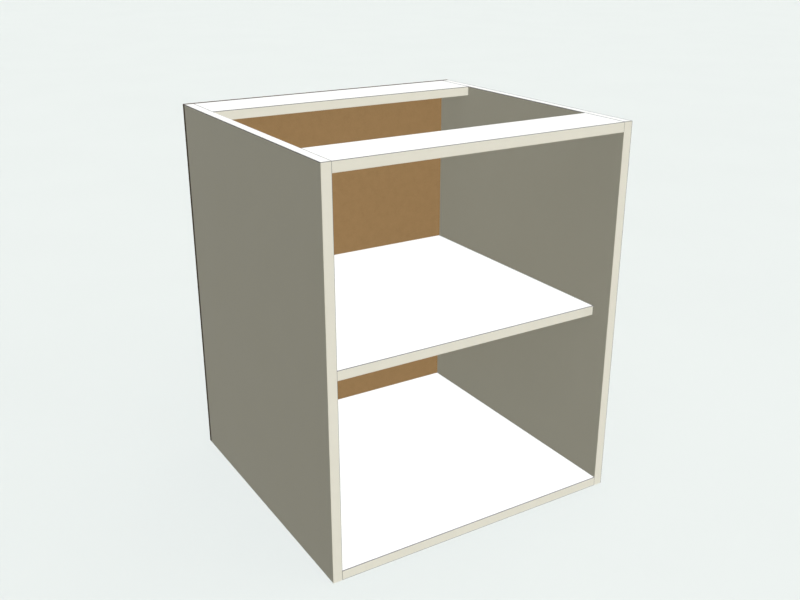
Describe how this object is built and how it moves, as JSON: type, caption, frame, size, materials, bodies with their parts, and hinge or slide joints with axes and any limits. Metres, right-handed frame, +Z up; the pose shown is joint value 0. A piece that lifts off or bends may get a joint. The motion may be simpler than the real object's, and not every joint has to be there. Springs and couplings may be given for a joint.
{
  "type": "kitchen base cabinet",
  "caption": "Open kitchen base cabinet carcass in ivory melamine board, with a loose shelf, flat top rails and a brown hardboard back, joined by cam locks and dowels.",
  "frame": {"origin": "middle of the floor under the cabinet: the centre of its box, at the underside of its panels", "axes": "+X to the right seen from the open front, +Y to the back, +Z up"},
  "size_m": [0.6, 0.568, 0.72],
  "materials": {
    "melamine_board": "satin ivory melamine paper on chipboard",
    "edging": "satin ivory edging strip",
    "hardboard": "smooth brown hardboard with a meshed rear face",
    "dowel_wood": "raw beech",
    "steel": "bright zinc-plated steel",
    "zinc": "die-cast zinc"
  },
  "bodies": {
    "carcass": {"left_side": "melamine_board", "right_side": "melamine_board", "bottom_panel": "melamine_board", "front_rail": "melamine_board", "rear_rail": "melamine_board", "back_panel": "hardboard", "left_side_front_edging": "edging", "left_side_top_edging": "edging", "right_side_front_edging": "edging", "right_side_top_edging": "edging", "bottom_edging": "edging", "front_rail_edging": "edging", "rear_rail_edging": "edging", "cam_bolts_bottom_left": "steel", "cam_bolts_top_left": "steel", "cam_bolts_bottom_right": "steel", "cam_bolts_top_right": "steel", "dowels_bottom_left": "dowel_wood", "dowels_top_left": "dowel_wood", "dowels_bottom_right": "dowel_wood", "dowels_top_right": "dowel_wood", "shelf_support_left_front": "steel", "shelf_support_left_rear": "steel", "shelf_support_right_front": "steel", "shelf_support_right_rear": "steel", "back_nails_left": "steel", "back_nails_right": "steel", "back_nails_bottom": "steel", "back_nails_top": "steel"},
    "loose_shelf": {"shelf": "melamine_board", "shelf_edging": "edging"},
    "cam_bottom_left_front_lock": {"cam_bottom_left_front": "zinc"},
    "cam_front_rail_left_lock": {"cam_front_rail_left": "zinc"},
    "cam_bottom_left_rear_lock": {"cam_bottom_left_rear": "zinc"},
    "cam_rear_rail_left_lock": {"cam_rear_rail_left": "zinc"},
    "cam_bottom_right_front_lock": {"cam_bottom_right_front": "zinc"},
    "cam_front_rail_right_lock": {"cam_front_rail_right": "zinc"},
    "cam_bottom_right_rear_lock": {"cam_bottom_right_rear": "zinc"},
    "cam_rear_rail_right_lock": {"cam_rear_rail_right": "zinc"}
  },
  "joints": [
    {"name": "shelf_pull_out", "type": "slide", "parent": "carcass", "child": "loose_shelf", "axis": [0, -1, 0], "range_m": [0, 0.56]},
    {"name": "cam_bottom_left_front_turn", "type": "hinge", "parent": "carcass", "child": "cam_bottom_left_front_lock", "pos_m": [-0.248, -0.22, 0], "axis": [0, 0, -1], "range_deg": [0, 180]},
    {"name": "cam_front_rail_left_turn", "type": "hinge", "parent": "carcass", "child": "cam_front_rail_left_lock", "pos_m": [-0.248, -0.25, 0.702], "axis": [0, 0, -1], "range_deg": [0, 180]},
    {"name": "cam_bottom_left_rear_turn", "type": "hinge", "parent": "carcass", "child": "cam_bottom_left_rear_lock", "pos_m": [-0.248, 0.212, 0], "axis": [0, 0, -1], "range_deg": [0, 180]},
    {"name": "cam_rear_rail_left_turn", "type": "hinge", "parent": "carcass", "child": "cam_rear_rail_left_lock", "pos_m": [-0.248, 0.242, 0.702], "axis": [0, 0, -1], "range_deg": [0, 180]},
    {"name": "cam_bottom_right_front_turn", "type": "hinge", "parent": "carcass", "child": "cam_bottom_right_front_lock", "pos_m": [0.248, -0.22, 0], "axis": [0, 0, -1], "range_deg": [0, 180]},
    {"name": "cam_front_rail_right_turn", "type": "hinge", "parent": "carcass", "child": "cam_front_rail_right_lock", "pos_m": [0.248, -0.25, 0.702], "axis": [0, 0, -1], "range_deg": [0, 180]},
    {"name": "cam_bottom_right_rear_turn", "type": "hinge", "parent": "carcass", "child": "cam_bottom_right_rear_lock", "pos_m": [0.248, 0.212, 0], "axis": [0, 0, -1], "range_deg": [0, 180]},
    {"name": "cam_rear_rail_right_turn", "type": "hinge", "parent": "carcass", "child": "cam_rear_rail_right_lock", "pos_m": [0.248, 0.242, 0.702], "axis": [0, 0, -1], "range_deg": [0, 180]}
  ]
}
